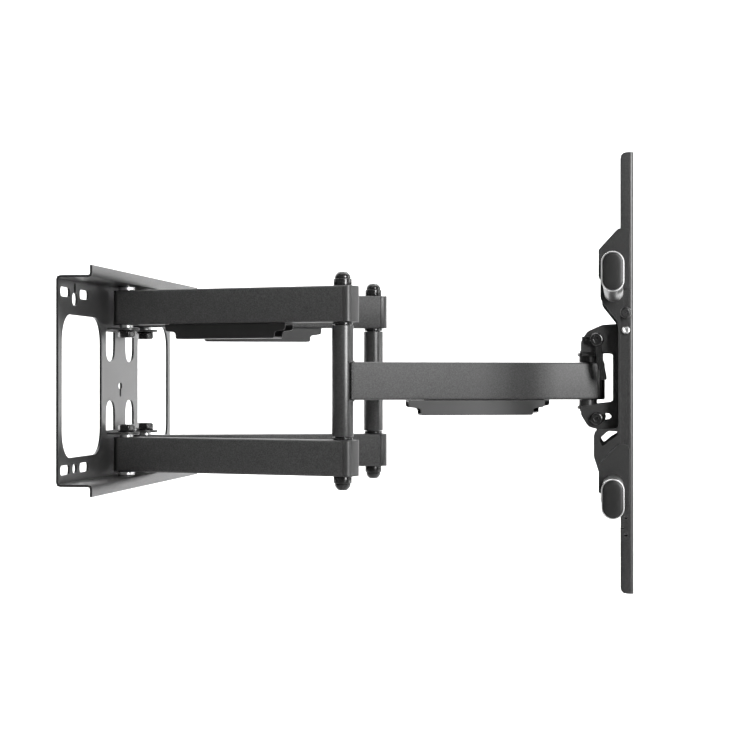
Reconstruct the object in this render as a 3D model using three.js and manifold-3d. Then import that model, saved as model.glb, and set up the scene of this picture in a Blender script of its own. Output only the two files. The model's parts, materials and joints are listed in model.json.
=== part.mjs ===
// Full motion wall mount for a flat screen: a pressed wall plate, two pairs of rear arms, two front
// arms, a tilting head, a frame with two rails and two screen brackets.
// Millimetres. +X points out from the wall, +Y along the wall, +Z up. The origin is on the wall,
// in the middle of the wall plate's back face. The side at -Y is called near, the one at +Y far.
import * as THREE from "three";
import { mergeVertices } from "three/addons/utils/BufferGeometryUtils.js";
import Module from "manifold-3d";

const wasm = await Module();
wasm.setup();

// ---- Driving dimensions ----
const gap = 0.3; // between pieces that touch
const degree = Math.PI / 180;
const sheet = 2.5; // pressed steel sheet
const bend = 2; // inner radius of a bend in it

const armLength = 267.3; // pivot to pivot, on rear and front arms alike
const armSplay = 17.5; // how far each rear arm stands outward from straight ahead, in degrees
const pivotStandoff = 20.5; // wall to the wall pivots
const pivotSpacing = 80; // near pivot to far pivot, at the wall and at the head
const levelGap = 124; // between the upper and the lower rear arms

const plateWidth = 462;
const flangeDepth = 35;
const lipHeight = 10;
const tabRadius = 14.5; // round end of the tabs that hold the wall pivots
const tabRelief = 3.5; // each side of a tab, in the window it leaves
const tabClearance = 3; // between a tab and its arm
const flangeClearance = 4.5; // between a flange and its arm

const rearWidth = 28;
const rearHeight = 38;
const frontWidth = 24;
const frontHeight = 40;
const tubeWall = 2.2;
const tubeCorner = 2.4;
const rearOverhang = 6; // tube past the elbow's axis
const frontOverhang = 8; // tube past the head pin's axis
const capLength = 8.5;
const insertLength = 11; // end cap's block inside the tube, behind the pivot's axis

const pivotBolt = 5; // radii
const elbowBolt = 6;
const headPin = 6;
const bushTube = 7.2;
const bushFlange = 9.2;
const elbowSleeve = 11.4;
const elbowSleeveBore = 8.3;
const elbowFlange = 10.6;
const elbowFlangeHeight = 3;
const domeRadius = 9.8;
const domeHeight = 14.5;

const clipLength = 148;
const clipHeight = 16;
const clipWidth = 20;
const clipWall = 1.8;
const rearClipStart = 56; // past the wall pivot's axis
const frontClipEnd = 50.3; // before the head pin's axis

const bossHeight = 7; // rings of the head that the front arms turn against
const headPlate = 3;
const headBack = 11; // head pin's axis to the head's wall side
const headFront = 16; // and to its screen side
const headHalfWidth = 56;
const earGap = 3; // between the head's ears and the tilt bracket's
const tiltForward = 10; // head pin's axis to the tilt axis
const tiltHeight = 2; // of the tilt axis above the arms' middle
const tiltRadius = 42; // tilt axis to each tilt bolt
const tiltBolt = 4;
const tiltDown = 15; // degrees
const tiltUp = 5;
const tiltPlateForward = 22; // tilt axis to the tilt bracket's back plate

const frameHalfWidth = 80; // of the centre plate between the rails
const railSpacing = 212;
const frameDrop = 4; // middle of the rails below the arms' middle
const railHalfLength = 310;
const railDepth = 20;
const railHeight = 36;
const railWall = 2;
const railCapLength = 5;

const bracketLength = 434;
const bracketRise = 8; // middle of the screen brackets above the arms' middle
const bracketWidth = 30;
const bracketDepth = 13;
const bracketPlace = 200; // each bracket's distance from the middle
const bracketSheet = 2.5;
const screenForward = 13; // tilt bracket's back plate to the screen's back
const knobHeight = 67; // of the lock knobs and guard screws above the arms' middle
const guardHeight = 50;
const knobStem = 2;
const guardStem = 1.8;

// ---- Worked out from them ----
const splay = armSplay * degree;
const headX = pivotStandoff + 2 * armLength * Math.cos(splay);
const tiltX = headX + tiltForward;
const tiltPlateX = tiltX + tiltPlateForward;
const screenX = tiltPlateX + headPlate + screenForward;
const frontClipStart = armLength - frontClipEnd - clipLength;
const rearMiddle = levelGap / 2 + rearHeight / 2;
const rearOuter = levelGap / 2 + rearHeight;
const plateHalfHeight = rearOuter + flangeClearance + sheet;
const tabOuter = levelGap / 2 - tabClearance; // face of a tab that looks at its arm
const headInner = frontHeight / 2 + bossHeight;
const headOuter = headInner + headPlate;
const earInner = headHalfWidth - headPlate;
const tiltInner = headHalfWidth + earGap;
const tiltOuter = tiltInner + headPlate;
const railX = tiltPlateX + headPlate - 7;
const frameFront = tiltPlateX + headPlate + gap;
const channelBack = screenX - bracketDepth;
const knobX = channelBack + 5.5;

// ---- Materials ----
const finish = (color, roughness, metalness) =>
  new THREE.MeshStandardMaterial({ color, roughness, metalness });
const powderCoat = finish(0x2b2b2d, 0.55, 0.3);
const armCoat = finish(0x3a3a3c, 0.5, 0.3);
const blackPlastic = finish(0x1c1c1e, 0.6, 0.0);
const blackBolt = finish(0x202022, 0.35, 0.7);
const zinc = finish(0xb9bcc0, 0.3, 1.0);

// ---- Solids ----
function solid(geometry) {
  const bare = new THREE.BufferGeometry();
  const loose = geometry.index ? geometry.toNonIndexed() : geometry;
  bare.setAttribute("position", loose.getAttribute("position"));
  const merged = mergeVertices(bare, 1e-4);
  const corners = merged.index.array;
  const kept = [];
  for (let i = 0; i < corners.length; i += 3) {
    const [a, b, c] = [corners[i], corners[i + 1], corners[i + 2]];
    if (a !== b && b !== c && a !== c) kept.push(a, b, c);
  }
  const vertProperties = merged.attributes.position.array;
  const triVerts = new Uint32Array(kept);
  return new wasm.Manifold(new wasm.Mesh({ numProp: 3, vertProperties, triVerts }));
}

const join = (first, ...rest) => rest.reduce((made, next) => made.add(next), first);
const cut = (first, ...rest) => rest.reduce((made, next) => made.subtract(next), first);
const mirrored = (build) => [-1, 1].map(build);

function geometryOf(made) {
  const mesh = made.getMesh();
  const geometry = new THREE.BufferGeometry();
  geometry.setAttribute("position", new THREE.BufferAttribute(mesh.vertProperties, 3));
  geometry.setIndex(new THREE.BufferAttribute(mesh.triVerts, 1));
  const faceted = geometry.toNonIndexed();
  faceted.computeVertexNormals();
  return faceted;
}

function piece(name, made, material) {
  const mesh = new THREE.Mesh(geometryOf(made), material);
  mesh.name = name;
  return mesh;
}

// ---- Outlines ----
function rounded(left, right, bottom, top, radius) {
  const shape = new THREE.Shape();
  const r = Math.min(radius, (right - left) / 2 - 0.01, (top - bottom) / 2 - 0.01);
  shape.moveTo(left + r, bottom);
  shape.absarc(right - r, bottom + r, r, -Math.PI / 2, 0);
  shape.absarc(right - r, top - r, r, 0, Math.PI / 2);
  shape.absarc(left + r, top - r, r, Math.PI / 2, Math.PI);
  shape.absarc(left + r, bottom + r, r, Math.PI, 1.5 * Math.PI);
  return shape;
}

const box = (left, right, bottom, top) =>
  outline([[left, bottom], [right, bottom], [right, top], [left, top]]);
const stadium = (x, y, width, height) =>
  rounded(x - width / 2, x + width / 2, y - height / 2, y + height / 2, Math.min(width, height) / 2);

// A closed outline through corners [x, y, radius], each rounded by its own radius.
function outline(corners) {
  const shape = new THREE.Shape();
  const count = corners.length;
  for (let i = 0; i < count; i += 1) {
    const here = new THREE.Vector2(corners[i][0], corners[i][1]);
    const radius = corners[i][2] ?? 0;
    const back = new THREE.Vector2(...corners[(i + count - 1) % count]).sub(here);
    const ahead = new THREE.Vector2(...corners[(i + 1) % count]).sub(here);
    const half = Math.acos(back.dot(ahead) / back.length() / ahead.length()) / 2;
    const reach = Math.min(radius / Math.tan(half), 0.49 * back.length(), 0.49 * ahead.length());
    const enter = here.clone().addScaledVector(back.normalize(), reach);
    const leave = here.clone().addScaledVector(ahead.normalize(), reach);
    if (i === 0) shape.moveTo(enter.x, enter.y);
    else shape.lineTo(enter.x, enter.y);
    if (reach > 0) shape.quadraticCurveTo(here.x, here.y, leave.x, leave.y);
  }
  return shape;
}

// A strip of sheet bent along a line of points, its thickness to the left of the line.
function bentStrip(points, thickness, radius) {
  const line = points.map(([x, y]) => new THREE.Vector2(x, y));
  const left = (a, b) => new THREE.Vector2(a.y - b.y, b.x - a.x).normalize();
  const inner = [];
  const outer = [];
  line.forEach((here, i) => {
    const before = i > 0 ? left(line[i - 1], here) : left(here, line[i + 1]);
    const after = i < line.length - 1 ? left(here, line[i + 1]) : before;
    const middle = before.clone().add(after);
    const offset = middle.multiplyScalar((2 * thickness) / middle.lengthSq());
    const turnsLeft = before.cross(after) > 0;
    const ends = i === 0 || i === line.length - 1;
    outer.push([here.x, here.y, ends ? 0 : radius + (turnsLeft ? thickness : 0)]);
    inner.push([here.x + offset.x, here.y + offset.y, ends ? 0 : radius + (turnsLeft ? 0 : thickness)]);
  });
  return outline([...outer, ...inner.reverse()]);
}

// ---- Slabs of an outline along each axis ----
const extruded = (shape, depth, curveSegments) =>
  new THREE.ExtrudeGeometry(shape, { depth, bevelEnabled: false, curveSegments });

// An outline in X and Y, from one height to another.
const slabZ = (shape, low, high, segments = 2) =>
  solid(extruded(shape, high - low, segments).translate(0, 0, low));

// An outline in Y and Z, from one X to another.
function slabX(shape, low, high, segments = 2) {
  const turn = new THREE.Matrix4().set(0, 0, 1, low, 1, 0, 0, 0, 0, 1, 0, 0, 0, 0, 0, 1);
  return solid(extruded(shape, high - low, segments).applyMatrix4(turn));
}

// An outline in X and Z, from one Y to another.
function slabY(shape, low, high, segments = 2) {
  const turn = new THREE.Matrix4().set(1, 0, 0, 0, 0, 0, -1, high, 0, 1, 0, 0, 0, 0, 0, 1);
  return solid(extruded(shape, high - low, segments).applyMatrix4(turn));
}

const disc = (x, y, radius) => new THREE.Shape().absarc(x, y, radius, 0, 2 * Math.PI);
const drillZ = (x, y, radius, low, high) => slabZ(disc(x, y, radius), low, high, 7);
const drillY = (x, z, radius, low, high) => slabY(disc(x, z, radius), low, high, 7);

// A turned piece about Z: a profile of [radius, height] from its lowest point on the axis upward.
function turned(profile, segments = 12) {
  const points = profile.map(([radius, height]) => new THREE.Vector2(radius, height));
  return solid(new THREE.LatheGeometry(points, segments).rotateX(Math.PI / 2));
}

// ---- Wall plate ----
function wallPlate() {
  const half = plateWidth / 2;
  const out = plateHalfHeight;
  const profile = bentStrip(
    [[flangeDepth, -out - lipHeight], [flangeDepth, -out], [0, -out], [0, out], [flangeDepth, out],
      [flangeDepth, out + lipHeight]].reverse(),
    sheet, bend);
  let made = slabY(profile, -half, half);
  const windowInner = pivotSpacing / 2 + tabRadius + 21;
  const windowOuter = half - 12;
  for (const side of [-1, 1]) {
    const [from, to] = [side * windowInner, side * windowOuter].sort((a, b) => a - b);
    made = cut(made, slabX(rounded(from, to, -0.74 * out, 0.64 * out, 28), -1, sheet + 1, 4));
    for (const level of [-1, 1]) {
      const row = level * (out - 16);
      const place = side * (half - 23);
      const inward = side * 33.5;
      const wallSlot = (y) => slabX(rounded(y - 16, y + 16, row - 5, row + 5, 3.5), -1, sheet + 1, 1);
      const hole = level > 0
        ? join(slabX(stadium(place - inward, row - 6, 19, 14), -1, sheet + 1),
          slabX(stadium(place - inward, row + 1, 7, 20), -1, sheet + 1))
        : slabX(stadium(place - inward, row, 15, 10), -1, sheet + 1);
      made = cut(made, hole, wallSlot(place), wallSlot(place - 2 * inward));
      made = pivotTab(made, side * pivotSpacing / 2, level);
    }
  }
  const hang = join(slabX(stadium(0, -5.5, 14, 7), -1, sheet + 1), slabX(stadium(0, -11, 6, 14), -1, sheet + 1));
  return cut(made, hang);
}

// A tab is punched out of the plate and bent forward, which leaves a window a little wider than it.
function pivotTab(plate, y, level) {
  const reach = pivotStandoff + tabRadius;
  const outer = tabOuter;
  const [low, high] = level > 0 ? [outer - sheet, outer] : [-outer, sheet - outer];
  const plan = rounded(-reach, reach, y - tabRadius, y + tabRadius, tabRadius);
  const tabOnly = box(sheet / 2, reach + 1, y - tabRadius, y + tabRadius);
  const tab = slabZ(plan, low, high, 4).intersect(slabZ(tabOnly, low, high));
  const root = outer - sheet - bend;
  const tip = outer - sheet - reach;
  const wide = tabRadius + tabRelief;
  const window = outline([[y - wide, root * level], [y + wide, root * level],
    [y + wide, tip * level, wide - 0.5], [y - wide, tip * level, wide - 0.5]]);
  const flange = level > 0 ? [plateHalfHeight - sheet - 1, plateHalfHeight + 1]
    : [-plateHalfHeight - 1, sheet + 1 - plateHalfHeight];
  const hole = pivotBolt + gap;
  return cut(join(cut(plate, slabX(window, -1, sheet + 1, 5)), tab),
    drillZ(pivotStandoff, y, hole, low - 1, high + 1),
    drillZ(pivotStandoff, y, hole, ...flange));
}

// ---- Wall pivots, drawn for the upper level ----
function pivotBoltPiece() {
  const seat = tabOuter - sheet - gap;
  const washer = 1.6;
  const head = 6.5;
  const hex = solid(new THREE.CylinderGeometry(domeRadius, domeRadius, head, 6).rotateX(Math.PI / 2)
    .translate(0, 0, seat - washer - head / 2));
  const shank = turned([[0, seat - washer], [11, seat - washer], [11, seat], [pivotBolt, seat],
    [pivotBolt, plateHalfHeight - gap], [0, plateHalfHeight - gap]]);
  return join(hex, shank);
}

function pivotBush() {
  const top = plateHalfHeight - sheet - gap;
  const bore = pivotBolt + gap;
  const tube = turned([[bore, tabOuter + gap], [bushTube, tabOuter + gap], [bushTube, rearOuter + gap],
    [bushFlange, rearOuter + gap], [bushFlange, top], [bore, top], [bore, tabOuter + gap]]);
  return tube;
}

// ---- Tubes of the arms ----
// A rectangular tube along X with its middle at the height z, from one end to the other.
function tubeBar(width, height, z, from, to, corner) {
  return slabX(rounded(-width / 2, width / 2, z - height / 2, z + height / 2, corner), from, to, 1);
}

function rearArm(z) {
  const half = rearWidth / 2;
  const end = armLength + rearOverhang;
  const [low, high] = [z - rearHeight / 2, z + rearHeight / 2];
  const outer = tubeBar(rearWidth, rearHeight, z, -half, end, tubeCorner)
    .intersect(slabZ(rounded(-half, end + rearWidth, -half, half, half), low - 1, high + 1, 4));
  const inside = half - tubeWall;
  const cavity = tubeBar(2 * inside, rearHeight - 2 * tubeWall, z, -inside, end + 1, 1)
    .intersect(slabZ(rounded(-inside, end + rearWidth, -inside, inside, inside), low, high, 4));
  return cut(outer, cavity, drillZ(0, 0, bushTube + gap, low - 1, high + 1),
    drillZ(armLength, 0, elbowBolt + gap, low - 1, high + 1));
}

// A plastic cap that closes a tube: its round end outside, its block bored for the pivot inside.
function endCap(width, height, z, tubeEnd, bore) {
  const face = tubeEnd + gap;
  const half = width / 2;
  const nose = tubeBar(width, height, z, face, face + capLength, tubeCorner)
    .intersect(slabZ(rounded(0, face + capLength, -half, half, 7), z - height, z + height, 3));
  const fit = 2 * (tubeWall + gap);
  const block = tubeBar(width - fit, height - fit, z, armLength - insertLength, face + 1, 1);
  return cut(join(nose, block), drillZ(armLength, 0, bore, z - height, z + height));
}

function frontArm() {
  const end = armLength + frontOverhang;
  const sleeveHalf = levelGap / 2 - elbowFlangeHeight - 2 * gap;
  const sleeve = drillZ(0, 0, elbowSleeve, -sleeveHalf, sleeveHalf);
  const tube = tubeBar(frontWidth, frontHeight, 0, elbowSleeveBore, end, tubeCorner);
  const [width, height] = [frontWidth - 2 * tubeWall, frontHeight - 2 * tubeWall];
  const cavity = tubeBar(width, height, 0, elbowSleeve + 1, end + 1, 1);
  return cut(join(sleeve, tube), drillZ(0, 0, elbowSleeveBore, -sleeveHalf - 1, sleeveHalf + 1), cavity,
    drillZ(armLength, 0, headPin + gap, -frontHeight, frontHeight));
}

// ---- Elbow ----
function domeProfile(base, up) {
  const steps = [[domeRadius, 0], [domeRadius, 8], [8.9, 8.8], [8.6, 9.6], [7.4, 12],
    [4.6, domeHeight - 0.8]];
  return steps.map(([radius, height]) => [radius, base + up * height]);
}

function elbowBoltPiece() {
  const seat = -rearOuter - gap;
  const top = rearOuter + gap + 7;
  return turned([[0, seat - domeHeight], ...domeProfile(seat, -1).reverse(), [elbowBolt, seat],
    [elbowBolt, top], [0, top]]);
}

function elbowNut() {
  const seat = rearOuter + gap;
  const bore = elbowBolt + gap;
  return turned([[0, seat + 8], [bore, seat + 8], [bore, seat], ...domeProfile(seat, 1),
    [0, seat + domeHeight]]);
}

// A flanged bush in the end of the sleeve, drawn for the upper end.
function elbowBush() {
  const top = levelGap / 2 - gap;
  const flange = top - elbowFlangeHeight + gap;
  const bottom = top - 16;
  const [bore, tube] = [elbowBolt + gap, elbowSleeveBore - gap];
  return turned([[bore, bottom], [tube, bottom], [tube, flange], [elbowFlange, flange], [elbowFlange, top],
    [bore, top], [bore, bottom]]);
}

// ---- Cable clip under an arm, whose underside is at the height z ----
function cableClip(start, z) {
  const top = z - gap;
  const end = start + clipLength;
  const step = 13;
  const [shoulder, notch, bottom] = [0.45, 0.55, 1].map((share) => top - share * clipHeight);
  const side = outline([[start, top], [start, shoulder, 3], [start + step, notch, 3],
    [start + step, bottom, 2], [end - step, bottom, 2], [end - step, notch, 3],
    [end, shoulder, 3], [end, top]]);
  const half = clipWidth / 2;
  const inside = half - clipWall;
  const channel = slabX(rounded(-inside, inside, bottom + clipWall, top - clipWall, 2), start - 1, end + 1);
  return cut(slabY(side, -half, half), channel);
}

// ---- Head: the swivel bracket that both front arms are pinned to ----
function swivelBracket() {
  const half = headHalfWidth;
  const [back, front] = [headX - headBack, headX + headFront];
  const ear = 9;
  const webHalf = (pivotSpacing - frontWidth) / 2 - 6;
  let made = slabX(box(-webHalf, webHalf, -headInner - 1, headInner + 1), headX - 4, headX - 1);
  for (const level of [-1, 1]) {
    const [low, high] = [level * headInner, level * headOuter].sort((a, b) => a - b);
    const deck = outline([[back, -half, 10], [front, -half, 3], [front, half, 3], [back, half, 10]]);
    made = join(made, slabZ(deck, low, high));
    const boltZ = tiltHeight + level * tiltRadius;
    const [foot, crown] = [level * headInner, boltZ].sort((a, b) => a - b);
    const reach = level > 0 ? 16 : ear; // the upper ears close the tilt slots from inside
    for (const side of [-1, 1]) {
      const [from, to] = [side * earInner, side * half].sort((a, b) => a - b);
      const boss = [level * (frontHeight / 2 + gap), level * (headInner + 1)].sort((a, b) => a - b);
      made = join(made, slabY(box(tiltX - reach, tiltX + 6, foot, crown + (reach - ear) / 2), from, to),
        drillY(tiltX, boltZ, ear, from, to), drillZ(headX, side * pivotSpacing / 2, bushFlange, ...boss));
    }
    made = cut(made, drillY(tiltX, boltZ, tiltBolt + gap, -half - 1, half + 1));
  }
  for (const side of [-1, 1]) {
    made = cut(made, drillZ(headX, side * pivotSpacing / 2, headPin + gap, -headOuter - 1, headOuter + 1));
  }
  return made;
}

function headPinPiece(side) {
  const seat = headOuter + gap;
  const head = 3.2;
  return turned([[0, -seat - head], [7.5, -seat - head], [9, -seat - 1], [9, -seat], [headPin, -seat],
    [headPin, seat], [9, seat], [9, seat + 1], [7.5, seat + head], [0, seat + head]])
    .translate(headX, side * pivotSpacing / 2, 0);
}

// ---- Tilt bracket: its ears carry arc slots that ride on the tilt bolts ----
function arcSlot(level) {
  const [early, late] = level > 0 ? [90 - tiltUp, 90 + tiltDown] : [270 - tiltUp, 270 + tiltDown];
  const half = tiltBolt + gap;
  const slack = 0.5;
  const [from, to] = [(early - slack) * degree, (late + slack) * degree];
  const shape = new THREE.Shape();
  const at = (angle) => [tiltX + tiltRadius * Math.cos(angle), tiltHeight + tiltRadius * Math.sin(angle)];
  shape.absarc(tiltX, tiltHeight, tiltRadius + half, from, to);
  shape.absarc(...at(to), half, to, to + Math.PI);
  shape.absarc(tiltX, tiltHeight, tiltRadius - half, to, from, true);
  shape.absarc(...at(from), half, from + Math.PI, from + 2 * Math.PI);
  return shape;
}

function tiltBracket() {
  const back = tiltX - 17;
  const spine = tiltPlateX - 5;
  const [upper, lower] = [tiltHeight + tiltRadius, tiltHeight - tiltRadius];
  const ear = outline([
    [tiltPlateX + 1, upper + 17], [tiltX + 6, upper + 16, 8], [tiltX - 10, upper + 9, 8], [back, upper - 2, 6],
    [back, headOuter + 1, 2], [spine, headOuter + 1, 4], [spine, -headInner + 4, 4], [back, -headInner, 2],
    [back, lower + 4, 8], [tiltX - 9, lower - 9, 8], [tiltX + 8, lower - 13, 8], [tiltPlateX + 1, lower - 14]]);
  const face = rounded(-tiltOuter, tiltOuter, lower - 14, upper + 17, 3);
  const plate = slabX(face, tiltPlateX, tiltPlateX + headPlate);
  let made = plate;
  for (const side of [-1, 1]) {
    const [from, to] = [side * tiltInner, side * tiltOuter].sort((a, b) => a - b);
    made = join(made, slabY(ear, from, to));
  }
  for (const level of [-1, 1]) made = cut(made, slabY(arcSlot(level), -tiltOuter - 1, tiltOuter + 1));
  return made;
}

const alongY = (made) => made.rotate([-90, 0, 0]);

// A rod across both brackets with a round head at its far end, and one at its near end unless the
// lever is screwed on there.
function tiltRod(level, nearHead) {
  const seat = tiltOuter + gap;
  const head = [[7, 0], [7, 2], [5.6, 4.6]];
  const near = nearHead
    ? [[0, -seat - 4.6], ...head.map(([r, h]) => [r, -seat - h]).reverse(), [tiltBolt, -seat]]
    : [[0, -seat - 5], [tiltBolt, -seat - 5]];
  const profile = [...near, [tiltBolt, seat], ...head.map(([r, h]) => [r, seat + h]), [0, seat + 4.6]];
  return alongY(turned(profile, 12)).translate(tiltX, 0, tiltHeight + level * tiltRadius);
}

function tiltLever() {
  const seat = -tiltOuter - gap;
  const z = tiltHeight + tiltRadius;
  const hub = drillY(tiltX, z, 7.5, seat - 7.5, seat);
  const flat = outline([[tiltX - 3.5, z], [tiltX + 4.5, z], [tiltX + 11, 1, 3], [tiltX + 4.5, 1, 3]]);
  const bar = slabY(flat, seat - 5.5, seat - 1);
  const bore = drillY(tiltX, z, tiltBolt + gap, seat - 5 - gap, seat + 1);
  return cut(join(hub, bar), bore);
}

// ---- Frame that tilts: centre plate, rails and caps ----
const railZ = (level) => level * railSpacing / 2 - frameDrop;
const railSection = (level, grow) =>
  stadium(railX, railZ(level), railDepth + 2 * grow, railHeight + 2 * grow);

function centrePlate() {
  const [high, low] = [railZ(1), railZ(-1)];
  const [webTop, webBottom] = [high - railHeight / 2 - 2, low + railHeight / 2 + 2];
  const windowHalf = frameHalfWidth - 26;
  const webWindow = (halfWidth, bottom, top, corner) =>
    slabX(rounded(-halfWidth, halfWidth, bottom, top, corner), frameFront - 1, frameFront + sheet + 1);
  const webSheet = box(1 - frameHalfWidth, frameHalfWidth - 1, webBottom, webTop);
  const web = cut(slabX(webSheet, frameFront, frameFront + sheet),
    webWindow(18, tiltHeight - 24, tiltHeight + 24, 8),
    webWindow(windowHalf, webTop - 16, webTop - 6, 5),
    webWindow(windowHalf, webBottom + 6, webBottom + 16, 5));
  const [back, front] = [railX - railDepth / 2 - 4, frameFront + sheet + 2.5];
  const flange = outline([
    [front, high + 24, 6], [back, high + 24, 8], [back, high - 16, 10], [tiltPlateX + 1, 62, 16],
    [tiltPlateX + 1, tiltHeight - tiltRadius - 10, 4], [tiltX - 3, tiltHeight - tiltRadius - 12, 6],
    [tiltX - 3, low + railHeight / 2 + 12, 8], [back, low + 8, 8], [back, low - 24, 8], [front, low - 24, 6]]);
  const hole = outline([[tiltX + 2, -62, 4], [tiltX + 12, -53, 6], [tiltPlateX, -52, 2], [tiltPlateX, -58, 4],
    [tiltX + 14, -63, 6], [tiltX + 6, -70, 2]]);
  let made = web;
  for (const side of [-1, 1]) {
    const [from, to] = [side * (frameHalfWidth - sheet), side * frameHalfWidth].sort((a, b) => a - b);
    made = join(made, cut(slabY(flange, from, to), slabY(hole, from - 1, to + 1)));
  }
  for (const level of [-1, 1]) {
    made = cut(made, slabY(railSection(level, gap), -frameHalfWidth - 1, frameHalfWidth + 1, 3));
  }
  return made;
}

function rail(level) {
  return cut(slabY(railSection(level, 0), -railHalfLength, railHalfLength, 3),
    slabY(railSection(level, -railWall), -railHalfLength - 1, railHalfLength + 1, 3));
}

// A plug with a broad face in a rail's open end.
function railCap(level, side) {
  const face = railHalfLength + gap;
  const span = (a, b) => [side * a, side * b].sort((p, q) => p - q);
  return join(slabY(railSection(level, 0.8), ...span(face, face + railCapLength - 1.2), 3),
    slabY(railSection(level, -0.6), ...span(face + 1, face + railCapLength), 3),
    slabY(railSection(level, -railWall - gap), ...span(face - 12, face + 1), 3));
}

// ---- Screen brackets, drawn with the channel's middle at y = 0 ----
function bracketChannel() {
  const half = bracketWidth / 2;
  const [low, high] = [bracketRise - bracketLength / 2, bracketRise + bracketLength / 2];
  const section = bentStrip([[channelBack, -half], [screenX, -half], [screenX, half], [channelBack, half]],
    bracketSheet, 1);
  const side = outline([[channelBack, low, 9], [screenX + 1, low], [screenX + 1, high],
    [channelBack, high, 9]]);
  let made = slabZ(section, low, high, 4).intersect(slabY(side, -half - 1, half + 1, 3));
  const slot = 34;
  const pitch = 48;
  for (let z = low + 34; z < high - 30; z += pitch) {
    made = cut(made, slabX(stadium(0, z, 8, slot), screenX - bracketSheet - 1, screenX + 1, 1));
  }
  for (const z of [low + 58, low + 75]) {
    made = cut(made, slabY(disc(screenX - bracketDepth / 2 - 1, z, 2.2), -half - 1, half + 1, 3));
  }
  for (const [z, radius] of [[knobHeight, knobStem], [guardHeight, guardStem]]) {
    made = cut(made, slabY(disc(knobX, z, radius + gap), -half - 1, half + 1, 3));
  }
  return cut(made, ...[-1, 1].map((level) => railNotch(level)));
}

// The space that lets a bracket down over a rail: the rail itself and the way out below it.
function railNotch(level) {
  const z = railZ(level);
  const half = railDepth / 2 + gap;
  return join(slabY(railSection(level, gap), -bracketWidth, bracketWidth, 3),
    slabY(box(railX - half, railX + half, z - railHeight, z), -bracketWidth, bracketWidth));
}

// Cheeks on both sides of the channel, whose notch hangs over a rail, and a strip that joins them.
function bracketHook(level) {
  const z = railZ(level);
  const back = railX - railDepth / 2 - 4.3;
  const front = channelBack + 9;
  const cheekInner = bracketWidth / 2 + gap;
  const side = outline([[back, z, 1], [back, z + 27, 3], [channelBack - 2, z + 48, 6], [front, z + 48, 8],
    [front, z - 11, 1], [front - 5.5, z - 11, 1], [front - 5.5, z - 9, 1], [railX, z - 9, 0], [railX, z, 0]]);
  const notch = railNotch(level);
  const cheeks = mirrored((s) => {
    const [from, to] = [s * cheekInner, s * (cheekInner + bracketSheet)].sort((a, b) => a - b);
    return cut(slabY(side, from, to), notch);
  });
  const strip = slabX(box(-cheekInner - 1, cheekInner + 1, z + railHeight / 2 + 4, z + 40),
    channelBack - gap - bracketSheet, channelBack - gap);
  return join(strip, ...cheeks);
}

function lockKnob(side) {
  const seat = bracketWidth / 2 + gap;
  const made = turned([[0, -6], [knobStem, -6], [knobStem, 0], [5, 0], [5.6, 1.5], [5.6, 5],
    [4.4, 7.6], [2, 8.8], [0, 9]]);
  const turn = side < 0 ? made.rotate([90, 0, 0]) : made.rotate([-90, 0, 0]);
  return turn.translate(knobX, side * seat, knobHeight);
}

function guardScrew(side) {
  const seat = bracketWidth / 2 + gap;
  const made = turned([[0, -5], [guardStem, -5], [guardStem, 0], [4, 0], [4, 2.2], [3.2, 3.2],
    [1.6, 3.2], [1.4, 1.6], [0, 1.6]], 10);
  const turn = side < 0 ? made.rotate([90, 0, 0]) : made.rotate([-90, 0, 0]);
  return turn.translate(knobX, side * seat, guardHeight);
}

// ---- Assembly ----
const mount = new THREE.Group();
const flipped = (made) => made.mirror([0, 0, 1]);
const levels = [["upper", 1], ["lower", -1]];
const sides = [["near", -1], ["far", 1]];

mount.add(piece("wall_plate", wallPlate(), powderCoat));

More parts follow.
